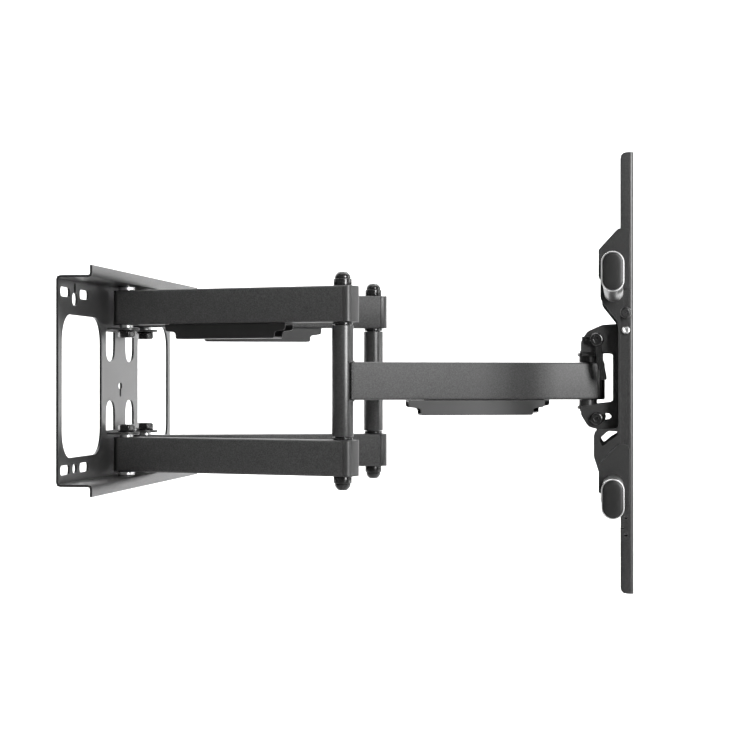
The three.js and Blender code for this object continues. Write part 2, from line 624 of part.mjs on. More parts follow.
for (const [where, side] of sides) {
  const pivotY = side * pivotSpacing / 2;
  const rear = new THREE.Group();
  rear.position.set(pivotStandoff, pivotY, 0);
  rear.rotation.z = side * splay;
  const front = new THREE.Group();
  const elbowX = pivotStandoff + armLength * Math.cos(splay);
  front.position.set(elbowX, pivotY + side * armLength * Math.sin(splay), 0);
  front.rotation.z = -side * splay;

  for (const [level, up] of levels) {
    const place = (made) => (up > 0 ? made : flipped(made)).translate(pivotStandoff, pivotY, 0);
    const z = up * rearMiddle;
    mount.add(piece(`wall_pivot_bolt_${level}_${where}`, place(pivotBoltPiece()), blackBolt));
    mount.add(piece(`wall_pivot_bush_${level}_${where}`, place(pivotBush()), zinc));
    rear.add(piece(`rear_arm_${level}_${where}`, rearArm(z), armCoat));
    const cap = endCap(rearWidth, rearHeight, z, armLength + rearOverhang, elbowBolt + gap);
    rear.add(piece(`rear_arm_cap_${level}_${where}`, cap, blackPlastic));
    const bush = up > 0 ? elbowBush() : flipped(elbowBush());
    front.add(piece(`elbow_bush_${level}_${where}`, bush, zinc));
  }
  rear.add(piece(`rear_cable_clip_${where}`, cableClip(rearClipStart, levelGap / 2), blackPlastic));
  front.add(piece(`elbow_bolt_${where}`, elbowBoltPiece(), blackBolt));
  front.add(piece(`elbow_nut_${where}`, elbowNut(), blackBolt));
  front.add(piece(`front_arm_${where}`, frontArm(), armCoat));
  const cap = endCap(frontWidth, frontHeight, 0, armLength + frontOverhang, headPin + gap);
  front.add(piece(`front_arm_cap_${where}`, cap, blackPlastic));
  front.add(piece(`front_cable_clip_${where}`, cableClip(frontClipStart, -frontHeight / 2), blackPlastic));
  mount.add(rear, front);
  mount.add(piece(`head_pin_${where}`, headPinPiece(side), blackBolt));

  const bracket = new THREE.Group();
  bracket.position.y = side * bracketPlace;
  bracket.add(piece(`bracket_channel_${where}`, bracketChannel(), powderCoat));
  for (const [level, up] of levels) {
    bracket.add(piece(`bracket_hook_${level}_${where}`, bracketHook(up), powderCoat));
    mount.add(piece(`rail_cap_${level}_${where}`, railCap(up, side), blackPlastic));
  }
  bracket.add(piece(`lock_knob_${where}`, lockKnob(side), blackPlastic));
  bracket.add(piece(`guard_screw_${where}`, guardScrew(side), zinc));
  mount.add(bracket);
}

mount.add(piece("swivel_bracket", swivelBracket(), powderCoat));
mount.add(piece("tilt_bracket", tiltBracket(), powderCoat));
mount.add(piece("tilt_rod_upper", tiltRod(1, false), blackBolt));
mount.add(piece("tilt_rod_lower", tiltRod(-1, true), blackBolt));
mount.add(piece("tilt_lever", tiltLever(), blackBolt));
mount.add(piece("centre_plate", centrePlate(), powderCoat));
mount.add(piece("rail_upper", rail(1), powderCoat));
mount.add(piece("rail_lower", rail(-1), powderCoat));

export default mount;
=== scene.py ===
import json
import math

import bmesh
import bpy
from mathutils import Matrix, Vector


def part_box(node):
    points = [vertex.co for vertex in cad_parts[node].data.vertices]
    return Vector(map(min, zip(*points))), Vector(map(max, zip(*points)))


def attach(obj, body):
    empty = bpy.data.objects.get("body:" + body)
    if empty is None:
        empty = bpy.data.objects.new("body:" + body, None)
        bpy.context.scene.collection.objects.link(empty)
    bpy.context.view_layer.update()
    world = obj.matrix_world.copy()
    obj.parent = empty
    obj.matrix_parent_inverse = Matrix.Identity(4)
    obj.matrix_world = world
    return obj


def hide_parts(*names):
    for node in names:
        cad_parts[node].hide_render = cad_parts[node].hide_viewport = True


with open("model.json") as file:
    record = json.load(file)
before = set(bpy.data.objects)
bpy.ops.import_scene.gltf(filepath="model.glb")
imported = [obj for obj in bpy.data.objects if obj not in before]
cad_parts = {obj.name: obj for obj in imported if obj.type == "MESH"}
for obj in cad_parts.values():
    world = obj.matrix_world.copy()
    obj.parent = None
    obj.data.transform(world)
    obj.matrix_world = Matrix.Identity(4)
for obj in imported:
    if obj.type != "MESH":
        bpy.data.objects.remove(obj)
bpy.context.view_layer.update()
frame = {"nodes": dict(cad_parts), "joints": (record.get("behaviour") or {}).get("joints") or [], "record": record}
mm = 0.001
nodes = frame["nodes"]
slotOfNode = {part["node"]: part["material_slot"] for part in frame["record"]["subparts"]}
bodies = frame["record"]["behaviour"]["bodies"]
bodyOfNode = {node: body for body, members in bodies.items() for node in members}
sides = ("near", "far")
levels = ("upper", "lower")
print("frame loaded:", len(nodes), "nodes")


# a socket that can be used in sums, so shader maths reads as plain expressions
class Wire:
    def __init__(self, finish, socket):
        self.finish = finish
        self.socket = socket

    def maths(self, operation, first, second):
        return self.finish.node("ShaderNodeMath", {"operation": operation}, {0: first, 1: second})

    def __add__(self, other):
        return self.maths("ADD", self, other)

    def __sub__(self, other):
        return self.maths("SUBTRACT", self, other)

    def __rsub__(self, other):
        return self.maths("SUBTRACT", other, self)

    def __mul__(self, other):
        return self.maths("MULTIPLY", self, other)

    __radd__ = __add__
    __rmul__ = __mul__


class Finish:
    def __init__(self, name, **fixed):
        self.material = bpy.data.materials.new(name)
        self.material.use_nodes = True
        self.tree = self.material.node_tree
        self.shader = self.tree.nodes["Principled BSDF"]
        self.row = 0
        for socket, value in fixed.items():
            self.shader.inputs[socket.replace("_", " ")].default_value = value

    # adds one node: its settings first, then the values or links of its sockets
    def node(self, kind, settings=None, sockets=None, out=0):
        made = self.tree.nodes.new(kind)
        self.row += 1
        made.location = (-260 - 190 * (self.row % 6), 420 - 170 * (self.row // 6))
        for key, value in (settings or {}).items():
            if key == "stops":
                for element, (place, tone) in zip(made.color_ramp.elements, value):
                    element.position = place
                    element.color = (tone, tone, tone, 1)
            else:
                setattr(made, key, value)
        for key, value in (sockets or {}).items():
            self.feed(made.inputs[key], value)
        return Wire(self, made.outputs[out])

    def feed(self, socket, value):
        if isinstance(value, Wire):
            self.tree.links.new(value.socket, socket)
        else:
            socket.default_value = value

    def into(self, **sockets):
        for name, value in sockets.items():
            self.feed(self.shader.inputs[name.replace("_", " ")], value)
        return self.material

    def place(self):
        return self.node("ShaderNodeTexCoord", out=3)

    def noise(self, scale, detail=2.0, roughness=0.5, stretch=None):
        where = self.place()
        if stretch:
            where = self.node("ShaderNodeMapping", {}, {"Vector": where, "Scale": stretch})
        sockets = {"Vector": where, "Scale": scale, "Detail": detail, "Roughness": roughness}
        return self.node("ShaderNodeTexNoise", {}, sockets)

    def ramp(self, wire, low, high):
        return self.node("ShaderNodeValToRGB", {"stops": ((low, 0.0), (high, 1.0))}, {"Fac": wire})

    # 1 along the outer edges of the metal, 0 on its faces
    def edges(self, radius):
        soft = self.node("ShaderNodeBevel", {"samples": 4}, {"Radius": radius})
        face = self.node("ShaderNodeNewGeometry", out=1)
        settings = {"operation": "DOT_PRODUCT"}
        match = self.node("ShaderNodeVectorMath", settings, {0: soft, 1: face}, out=1)
        return self.ramp(1 - match, 0.015, 0.16)

    def blend(self, factor, first, second):
        settings = {"data_type": "RGBA"}
        return self.node("ShaderNodeMix", settings, {0: factor, 6: first, 7: second}, out=2)

    def bump(self, height, strength, distance):
        sockets = {"Height": height, "Strength": strength, "Distance": distance}
        return self.node("ShaderNodeBump", {}, sockets)


def grey(value, warmth=0.0):
    return (value * (1 + warmth), value, value * (1 - warmth), 1.0)


# powder coat: a pebbled skin, thinner and paler along the edges
def powderFinish(name, coat):
    finish = Finish(name, Metallic=0.0, Specular_IOR_Level=coat["gloss"])
    grain = finish.noise(coat["grain"], 3.0, 0.62)
    fine = finish.noise(coat["grain"] * 2.7, 2.0, 0.5)
    cloud = finish.noise(7.0, 3.0, 0.55)
    speck = finish.ramp(grain * 0.6 + fine * 0.4, 0.42, 0.62)
    body = finish.blend(speck, grey(coat["dark"]), grey(coat["light"]))
    worn = finish.edges(0.9 * mm) * coat["wear"]
    colour = finish.blend(worn, body, grey(coat["edge"]))
    rough = coat["roughness"] + speck * 0.1 + cloud * 0.08 - 0.07
    normal = finish.bump(grain * 0.55 + fine * 0.45, coat["bump"], 0.25 * mm)
    return finish.into(Base_Color=colour, Roughness=rough, Normal=normal)


# moulded plastic: a fine even grain and soft pale edges
def plasticFinish(name, coat):
    finish = Finish(name, Metallic=0.0, Specular_IOR_Level=coat["gloss"])
    grain = finish.noise(coat["grain"], 2.0, 0.6)
    cloud = finish.noise(14.0, 2.0, 0.5)
    body = finish.blend(grain, grey(coat["dark"]), grey(coat["light"]))
    colour = finish.blend(finish.edges(0.6 * mm) * coat["wear"], body, grey(coat["edge"]))
    rough = coat["roughness"] + grain * 0.12 + cloud * 0.06 - 0.09
    normal = finish.bump(grain, coat["bump"], 0.12 * mm)
    return finish.into(Base_Color=colour, Roughness=rough, Normal=normal)


# black oxide: dark steel with a satin sheen, rubbed on its edges
def oxideFinish(name, coat):
    finish = Finish(name, Specular_IOR_Level=coat["gloss"])
    rub = finish.noise(90.0, 4.0, 0.65)
    worn = finish.edges(0.5 * mm) * coat["wear"]
    body = finish.blend(rub, grey(coat["dark"]), grey(coat["light"]))
    colour = finish.blend(worn, body, grey(coat["edge"]))
    rough = coat["roughness"] + rub * 0.16 - 0.06
    metal = worn * 0.5 + coat["metal"]
    return finish.into(Base_Color=colour, Roughness=rough, Metallic=metal)


# bright zinc: turned metal with fine rings and a slight haze
def zincFinish(name, coat):
    finish = Finish(name, Metallic=1.0)
    rings = finish.noise(900.0, 2.0, 0.5, (0.05, 0.05, 1.0))
    haze = finish.noise(160.0, 3.0, 0.6)
    colour = finish.blend(haze, grey(coat["dark"], -0.01), grey(coat["light"], 0.01))
    rough = coat["roughness"] + haze * 0.14 + rings * 0.08
    normal = finish.bump(rings, 0.15, 0.05 * mm)
    return finish.into(Base_Color=colour, Roughness=rough, Normal=normal)


powderLook = {"dark": 0.007, "light": 0.026, "edge": 0.10, "wear": 0.35, "gloss": 0.45,
              "roughness": 0.36, "grain": 950.0, "bump": 0.26}
armLook = {"dark": 0.022, "light": 0.060, "edge": 0.14, "wear": 0.3, "gloss": 0.42,
           "roughness": 0.50, "grain": 800.0, "bump": 0.34}
sleeveLook = {**armLook, "dark": 0.012, "light": 0.034, "gloss": 0.6, "roughness": 0.32, "bump": 0.07}
plasticLook = {"dark": 0.004, "light": 0.009, "edge": 0.05, "wear": 0.4, "gloss": 0.45,
               "roughness": 0.40, "grain": 1500.0, "bump": 0.2}
armCapLook = {**plasticLook, "dark": 0.018, "light": 0.032, "edge": 0.09}
oxideLook = {"dark": 0.006, "light": 0.014, "edge": 0.12, "wear": 0.4, "gloss": 0.65,
             "roughness": 0.20, "metal": 0.3}
zincLook = {"dark": 0.60, "light": 0.82, "roughness": 0.22}

finishes = {
    "powder_coat": powderFinish("powderCoat", powderLook),
    "arm_coat": powderFinish("armCoat", armLook),
    "black_plastic": plasticFinish("blackPlastic", plasticLook),
    "black_bolt": oxideFinish("blackOxide", oxideLook),
    "zinc": zincFinish("brightZinc", zincLook),
}
capFinish = plasticFinish("armCapPlastic", armCapLook)
sleeveFinish = powderFinish("sleeveCoat", sleeveLook)
print("finishes ready")


# the middle of a CAD node's box
def middleOf(node):
    low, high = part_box(node)
    return (low + high) / 2


# how far a CAD node reaches along an axis, in millimetres
def reachOf(node, axis):
    low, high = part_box(node)
    return (high[axis] - low[axis]) / mm


def show(made):
    bpy.context.scene.collection.objects.link(made)
    return made


# a new piece on a body; stands for the CAD nodes it is given
def addPiece(name, mesh, slot, body, stands=(), smoothUnder=40, finish=None):
    made = show(bpy.data.objects.new(name, mesh))
    mesh.materials.clear()
    mesh.materials.append(finish or finishes[slot])
    mesh.shade_smooth()
    mesh.set_sharp_from_angle(angle=math.radians(smoothUnder))
    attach(made, body)
    if stands:
        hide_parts(*stands)
    return made


def meshFrom(build, name):
    bm = bmesh.new()
    build(bm)
    bmesh.ops.recalc_face_normals(bm, faces=bm.faces)
    mesh = bpy.data.meshes.new(name)
    bm.to_mesh(mesh)
    bm.free()
    return mesh


# the CAD surface with its flat faces whole again and every hard edge rounded off
def refined(node, edge, limit=32):
    mesh = nodes[node].data.copy()
    bm = bmesh.new()
    bm.from_mesh(mesh)
    bmesh.ops.remove_doubles(bm, verts=bm.verts, dist=0.004 * mm)
    flat = math.radians(0.6)
    bmesh.ops.dissolve_limit(bm, angle_limit=flat, verts=bm.verts, edges=bm.edges)
    bm.to_mesh(mesh)
    bm.free()
    mesh.name = node + "Skin"
    while mesh.attributes.get("custom_normal"):
        mesh.attributes.remove(mesh.attributes["custom_normal"])
    finish = capFinish if "arm_cap" in node else None
    made = addPiece(node + "_fine", mesh, slotOfNode[node], bodyOfNode[node], (node,), 50, finish)
    bevel = made.modifiers.new("roundedEdges", "BEVEL")
    bevel.width = edge
    bevel.segments = 2
    bevel.limit_method = "ANGLE"
    bevel.angle_limit = math.radians(limit)
    bevel.harden_normals = True


# turned and hexagonal pieces are rings of points joined one to the next
ringPoints = 72


def ringRadius(kind, radius, angle):
    if kind == "hex":  # radius is the corner's
        turn = math.radians(60)
        return radius * math.cos(turn / 2) / math.cos(angle % turn - turn / 2)
    if kind == "grip":
        return radius * (1 + 0.045 * math.cos(18 * angle))
    return radius


# one ring of points; a hexagon can have its corners cut back to a round limit
def ring(radius, height, kind="round", limit=math.inf):
    points = []
    for i in range(ringPoints):
        angle = 2 * math.pi * i / ringPoints
        r = min(ringRadius(kind, radius, angle), limit)
        points.append(Vector((r * math.cos(angle), r * math.sin(angle), height)))
    return points


def joinRings(bm, rings, looped):
    made = [[bm.verts.new(point) for point in points] for points in rings]
    pairs = list(zip(made, made[1:])) + ([(made[-1], made[0])] if looped else [])
    for first, second in pairs:
        for i in range(len(first)):
            k = (i + 1) % len(first)
            bm.faces.new((first[i], first[k], second[k], second[i]))
    if not looped:
        bm.faces.new(made[0])
        bm.faces.new(made[-1])


# small arc of steps that rounds a corner between two heights and radii
def corner(radius, height, size, start, end, count=4):
    steps = []
    for i in range(count + 1):
        angle = math.radians(start + (end - start) * i / count)
        steps.append((radius + size * math.cos(angle), height + size * math.sin(angle)))
    return steps


# solids turned from steps in millimetres: (radius, height), then a ring kind and its round limit
def turnedMesh(name, solids, place):
    def build(bm):
        for steps, looped in solids:
            joinRings(bm, [ring(*step) for step in steps], looped)

    mesh = meshFrom(build, name)
    mesh.transform(place @ Matrix.Scale(mm, 4))
    return mesh


# the same steps as seen from the other end of a piece
def mirrored(steps, tall):
    return [(radius, tall - height, *kind) for radius, height, *kind in reversed(steps)]


alongY = Matrix.Rotation(math.radians(90), 4, "X")  # height runs towards -Y
alongFarY = Matrix.Rotation(math.radians(-90), 4, "X")
upright = Matrix.Identity(4)
upsideDown = Matrix.Rotation(math.radians(180), 4, "X")


def at(point, turn=upright):
    return Matrix.Translation(point) @ turn


# where an upright piece starts: at its foot, or at its top and upside down on the lower level
def pivotPlace(node, level):
    low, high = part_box(node)
    middle = middleOf(node)
    if level == "upper":
        return at(Vector((middle.x, middle.y, low.z)))
    return at(Vector((middle.x, middle.y, high.z)), upsideDown)


# pressed and cut pieces keep the CAD surface; each number is an edge radius in millimetres
edgeRounding = {
    "wall_plate": 0.55, "swivel_bracket": 0.6, "tilt_bracket": 0.6, "centre_plate": 0.6,
    "bracket_channel": 0.35, "bracket_hook": 0.6, "rear_arm": 0.5, "rear_arm_cap": 0.9,
    "front_arm_cap": 0.8, "rear_cable_clip": 0.7, "front_cable_clip": 0.7,
}
roundedTubes = ("rear_arm", "front_arm_cap", "rear_arm_cap")
for node in sorted(nodes):
    kinds = [kind for kind in edgeRounding if node.startswith(kind)]
    if kinds:
        kind = max(kinds, key=len)
        refined(node, edgeRounding[kind] * mm, 52 if kind in roundedTubes else 32)
print("pressed and cut pieces refined")


# bolts and bushes where the rear arms meet the wall
pivotLook = {"hexCorner": 9.6, "headHeight": 6.2, "washer": 10.5, "thinWasher": 8.9, "shank": 5.0,
             "bushBore": 5.3, "bushTube": 7.2, "bushCollar": 9.2, "collarHeight": 3.9}


def washerSteps(radius, base):
    hole = pivotLook["shank"] + 0.2
    return [(hole, base), *corner(radius, base + 0.4, 0.4, -90, 90), (hole, base + 0.8)]


def pivotBoltMesh(node, level):
    head, point, shank = pivotLook["headHeight"], pivotLook["hexCorner"], pivotLook["shank"]
    height = reachOf(node, 2)
    seat = head + 0.2
    flat = point * 0.866  # from the middle to a flat side
    hexHead = [(flat - 0.9, 0), (flat - 0.3, 0.25), (point, 0.9, "hex", flat + 0.45), (point, 1.7, "hex"),
               (point, head - 0.7, "hex"), (point, head, "hex", flat + 0.7)]
    rod = [(shank - 0.8, seat - 0.5), (shank, seat), (shank, height - 0.8), (shank - 0.8, height)]
    washers = [(washerSteps(pivotLook["washer"], seat), True),
               (washerSteps(pivotLook["thinWasher"], seat + 0.9), True)]
    return turnedMesh(node + "Mesh", [(hexHead, False), *washers, (rod, False)], pivotPlace(node, level))


# a tube with a collar that has a groove round it
def pivotBushMesh(node, level):
    bore, tube, wide = pivotLook["bushBore"], pivotLook["bushTube"], pivotLook["bushCollar"]
    height = reachOf(node, 2)
    foot = height - pivotLook["collarHeight"]
    steps = [(bore, 0), (tube, 0), (tube, foot), (wide - 0.5, foot), (wide, foot + 0.5), (wide, foot + 1.3),
             (wide - 1, foot + 1.6), (wide - 1, foot + 2.4), (wide, foot + 2.7), (wide, height - 0.5),
             (wide - 0.5, height), (bore, height)]
    return turnedMesh(node + "Mesh", [(steps, True)], pivotPlace(node, level))


for side in sides:
    for level in levels:
        node = f"wall_pivot_bolt_{level}_{side}"
        addPiece(node + "_fine", pivotBoltMesh(node, level), "black_bolt", "wall", (node,))
        node = f"wall_pivot_bush_{level}_{side}"
        addPiece(node + "_fine", pivotBushMesh(node, level), "zinc", "wall", (node,))
print("wall pivots turned")


# elbow bolts, their nuts and the bushes between the arms
elbowLook = {"skirt": 9.7, "skirtHeight": 7.4, "dome": 8.5, "crown": 5.2, "nutBore": 5.8, "shank": 6.0,
             "bushBore": 6.3, "bushTube": 8.0, "bushFlange": 10.6, "flangeHeight": 2.7}


# a wide skirt, a narrow groove and a domed crown above it
def domeSteps(height):
    skirt, rise, dome = elbowLook["skirt"], elbowLook["skirtHeight"], elbowLook["dome"]
    crown = elbowLook["crown"]
    return [*corner(skirt - 0.5, 0.5, 0.5, -90, 0), *corner(skirt - 1.2, rise - 1.2, 1.2, 0, 80),
            (dome - 0.2, rise + 0.1), (dome - 0.5, rise + 0.5), (dome, rise + 0.9), (dome, rise + 1.6),
            (dome - 0.5, rise + 3.2), (dome - 1.7, rise + 5.0), (crown, height - 0.5), (crown - 0.8, height)]


def elbowBushMesh(node, level):
    bore, tube, flange = elbowLook["bushBore"], elbowLook["bushTube"], elbowLook["bushFlange"]
    tall = reachOf(node, 2)
    foot = tall - elbowLook["flangeHeight"]
    steps = [(bore, 0), (tube, 0), (tube, foot), (flange - 0.5, foot), (flange, foot + 0.5),
             (flange, tall - 0.5), (flange - 0.5, tall), (bore, tall)]
    return turnedMesh(node + "Mesh", [(steps, True)], pivotPlace(node, level))


for side in sides:
    node = "elbow_nut_" + side
    domeTall = reachOf(node, 2)
    nut = [(elbowLook["nutBore"], 0), *domeSteps(domeTall)]
    mesh = turnedMesh("elbowNutMesh", [(nut, False)], pivotPlace(node, "upper"))
    addPiece(node + "_fine", mesh, "black_bolt", bodyOfNode[node], (node,))
    node = "elbow_bolt_" + side
    tall = reachOf(node, 2)
    shank = elbowLook["shank"]
    bolt = [*mirrored(domeSteps(domeTall), domeTall), (shank, domeTall), (shank, tall - 1), (shank - 1, tall)]
    mesh = turnedMesh("elbowBoltMesh", [(bolt, False)], pivotPlace(node, "upper"))
    addPiece(node + "_fine", mesh, "black_bolt", bodyOfNode[node], (node,))
    for level in levels:
        node = f"elbow_bush_{level}_{side}"
        addPiece(node + "_fine", elbowBushMesh(node, level), slotOfNode[node], bodyOfNode[node], (node,))
print("elbows turned")


# front arms: round sleeve, rectangular tube and the weld between them
armShape = {"sleeve": 11.4, "bore": 8.3, "tubeWidth": 24.0, "tubeHeight": 40.0, "wall": 2.2,
            "tubeCorner": 2.6, "overhang": 8.0, "weld": 1.6, "ripples": 13}


def roundedRing(width, height, radius, x, count=6):
    points = []
    for i, (sy, sz) in enumerate(((1, 1), (-1, 1), (-1, -1), (1, -1))):
        for k in range(count + 1):
            angle = math.radians(90 * i + 90 * k / count)
            points.append(Vector((x * mm, (sy * (width / 2 - radius) + radius * math.cos(angle)) * mm,
                                  (sz * (height / 2 - radius) + radius * math.sin(angle)) * mm)))
    return points


# a rippled bead along a line of points
def weldBead(name, points, radius, ripples):
    def build(bm):
        rings = []
        count = ripples * 6
        for i in range(count + 1):
            t = i / count * (len(points) - 1)
            k = min(int(t), len(points) - 2)
            centre = points[k].lerp(points[k + 1], t - k)
            along = (points[k + 1] - points[k]).normalized()
            side = along.cross(Vector((0.31, 0.2, 0.92))).normalized()
            up = along.cross(side)
            wave = 1 + 0.22 * math.sin(2 * math.pi * ripples * i / count)
            r = radius * wave * (0.55 if i in (0, count) else 1)
            rings.append([centre + side * r * math.cos(a) + up * r * math.sin(a)
                          for a in (2 * math.pi * j / 12 for j in range(12))])
        joinRings(bm, rings, False)

    return meshFrom(build, name)


def sleeveSteps(half):
    bore, sleeve = armShape["bore"], armShape["sleeve"]
    edge = 0.5
    return [(bore, 0.6 - half), *corner(bore + edge, edge - half, edge, 180, 270),
            *corner(sleeve - edge, edge - half, edge, -90, 0),
            *corner(sleeve - edge, half - edge, edge, 0, 90),
            *corner(bore + edge, half - edge, edge, 90, 180)]


# where a joint's axis stands in the frame
def pivotPoint(joint):
    found = next(j for j in frame["joints"] if j["name"] == joint)
    return Vector(found["pos_m"])


for side, sign in (("near", -1), ("far", 1)):
    elbow = pivotPoint(side + "_elbow")
    headPin = Vector((pivotPoint("head_hinge").x, sign * abs(pivotPoint("near_rear_fold").y), 0))
    along = headPin - elbow
    turn = Matrix.Rotation(math.atan2(along.y, along.x), 4, "Z")
    place = at(elbow, turn)
    length = along.length / mm
    node = "front_arm_" + side
    half = reachOf(node, 2) / 2
    body = bodyOfNode[node]
    bore, sleeve = armShape["bore"], armShape["sleeve"]
    mesh = turnedMesh("sleeveMesh", [(sleeveSteps(half), True)], place)
    addPiece(f"front_arm_{side}_sleeve", mesh, "arm_coat", body, (node,), finish=sleeveFinish)
    width, height, radius = armShape["tubeWidth"], armShape["tubeHeight"], armShape["tubeCorner"]
    inner = (width - 2 * armShape["wall"], height - 2 * armShape["wall"], radius - 1.6)
    start, end = bore + 0.4, length + armShape["overhang"]
    rings = [roundedRing(width - 0.8, height - 0.8, radius, start),
             roundedRing(width, height, radius, start + 0.4), roundedRing(width, height, radius, end - 0.5),
             roundedRing(width - 1, height - 1, radius - 0.4, end),
             roundedRing(*inner, end), roundedRing(*inner, start)]
    mesh = meshFrom(lambda bm: joinRings(bm, rings, True), "armTubeMesh")
    mesh.transform(place)
    addPiece(f"front_arm_{side}_tube", mesh, "arm_coat", body, (node,))
    for outward, label in ((-1, "a"), (1, "b")):
        y = outward * (width / 2 - 0.6)
        path = [Vector((bore - 0.1, y, z)) * mm for z in (-height / 2 + 1, 0, height / 2 - 1)]
        mesh = weldBead("weldMesh", path, armShape["weld"] * mm, armShape["ripples"])
        mesh.transform(place)
        addPiece(f"front_arm_{side}_weld_{label}", mesh, "arm_coat", body)
    for top, label in ((-1, "low"), (1, "top")):
        path = []
        for k in range(9):
            angle = math.radians(-68 + 17 * k)
            point = Vector((sleeve * math.cos(angle), sleeve * math.sin(angle), top * height / 2))
            path.append(point * mm)
        mesh = weldBead("weldMesh", path, armShape["weld"] * 0.8 * mm, 12)
        mesh.transform(place)
        addPiece(f"front_arm_{side}_weld_{label}", mesh, "arm_coat", body)
print("front arms welded")


# head: pins, tilt rods and lever
pinLook = {"hex": 3.4, "depth": 2.0, "shank": 6.0}
rodLook = {"head": 7.0, "tall": 4.6, "hex": 3.1, "depth": 2.4, "rod": 4.0}
leverLook = {"hub": 7.4, "hubTall": 7.5, "hex": 3.4, "depth": 2.2, "thick": 4.4, "cut": 0.9}


# a cap with a hexagonal socket, from the socket's bottom out to the cap's edge
def socketCap(radius, tall, hexRadius, depth):
    return [(hexRadius, depth, "hex"), (hexRadius, 0.25, "hex"), (hexRadius + 0.45, 0), (radius - 2.2, 0.0),
            (radius - 1.1, 0.35), (radius - 0.4, 1.1), (radius, 2.3), (radius, tall - 0.4),
            (radius - 0.4, tall)]


for side in sides:
    node = "head_pin_" + side
    hexRadius = pinLook["hex"]
    cap = [(hexRadius, pinLook["depth"], "hex"), (hexRadius, 0.2, "hex"), (hexRadius + 0.4, 0), (7.2, 0),
           (8.0, 0.35), (8.6, 1.1), (8.9, 2.2), (8.9, 2.9), (8.6, 3.2), (pinLook["shank"], 3.2)]
    steps = [*cap, *mirrored(cap, reachOf(node, 2))]
    mesh = turnedMesh(node + "Mesh", [(steps, False)], pivotPlace(node, "upper"))
    addPiece(node + "_fine", mesh, "black_bolt", "head", (node,))

for level in levels:
    node = "tilt_rod_" + level
    middle = middleOf(node)
    rod, capTall = rodLook["rod"], rodLook["tall"]
    cap = [*socketCap(rodLook["head"], capTall, rodLook["hex"], rodLook["depth"]), (rod, capTall)]
    nearEnd = [(rod - 0.6, 0), (rod, 0.6)] if level == "upper" else cap  # the upper one ends in the lever
    steps = [*nearEnd, *mirrored(cap, reachOf(node, 1))]
    place = at(Vector((middle.x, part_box(node)[0].y, middle.z)), alongFarY)
    mesh = turnedMesh(node + "Mesh", [(steps, False)], place)
    addPiece(node + "_fine", mesh, "black_bolt", "head", (node,))

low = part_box("tilt_lever")[0]
hubCentre = Vector((pivotPoint("lever_turn").x, low.y, pivotPoint("lever_turn").z))
hub = [*socketCap(leverLook["hub"], leverLook["hubTall"] - 0.2, leverLook["hex"], leverLook["depth"]),
       (4.4, leverLook["hubTall"])]
mesh = turnedMesh("leverHubMesh", [(hub, False)], at(hubCentre, alongFarY))
addPiece("tilt_lever_hub", mesh, "black_bolt", "tilt_lever", ("tilt_lever",))


# the handle: it leans away from the wall and thins towards its foot
def leverBar(bm):
    top, foot = hubCentre.z / mm, low.z / mm + 0.2
    x, y = hubCentre.x / mm, low.y / mm + 2.0
    rows = [(top, x - 3.6, x + 4.4), (top - 14, x - 1.6, x + 5.9), (top - 26, x + 0.6, x + 8.0),
            (foot + 5, x + 3.4, x + 10.4), (foot + 1.2, x + 4.6, x + 10.8), (foot, x + 6.0, x + 10.0)]
    rings = []
    for z, left, right in rows:
        deep = leverLook["thick"] * (0.75 if z == foot else 1)
        cut = leverLook["cut"]
        rings.append([Vector(p) * mm for p in (
            (left + cut, y, z), (right - cut, y, z), (right, y + cut, z), (right, y + deep - cut, z),
            (right - cut, y + deep, z), (left + cut, y + deep, z), (left, y + deep - cut, z),
            (left, y + cut, z))])
    joinRings(bm, rings, False)


mesh = meshFrom(leverBar, "leverBarMesh")
addPiece("tilt_lever_bar", mesh, "black_bolt", "tilt_lever", ("tilt_lever",), 30)
print("head pieces turned")


# rails, their caps and a bright zinc rim round each cap; the rim is a painted highlight, standing in for the
# rail's end catching the light round the cap
railLook = {"wall": 2.0, "capLength": 5.0}


# a ring round a rail's section, a distance along it and grown outward
def stadiumRing(section, y, grow, count=22):
    width, height = section
    radius = width / 2 + grow
    points = []
    for half, lift in ((0, 1), (1, -1)):
        centre = lift * (height - width) / 2
        for k in range(count + 1):
            angle = math.pi * (half + k / count)
            points.append(Vector((radius * math.cos(angle), y, centre + radius * math.sin(angle))) * mm)
    return points


# a solid along a rail: each step is (distance along it, growth)
def railMesh(name, section, steps, looped, start):
    rings = [stadiumRing(section, y, grow) for y, grow in steps]
    mesh = meshFrom(lambda bm: joinRings(bm, rings, looped), name)
    mesh.transform(at(start))
    return mesh


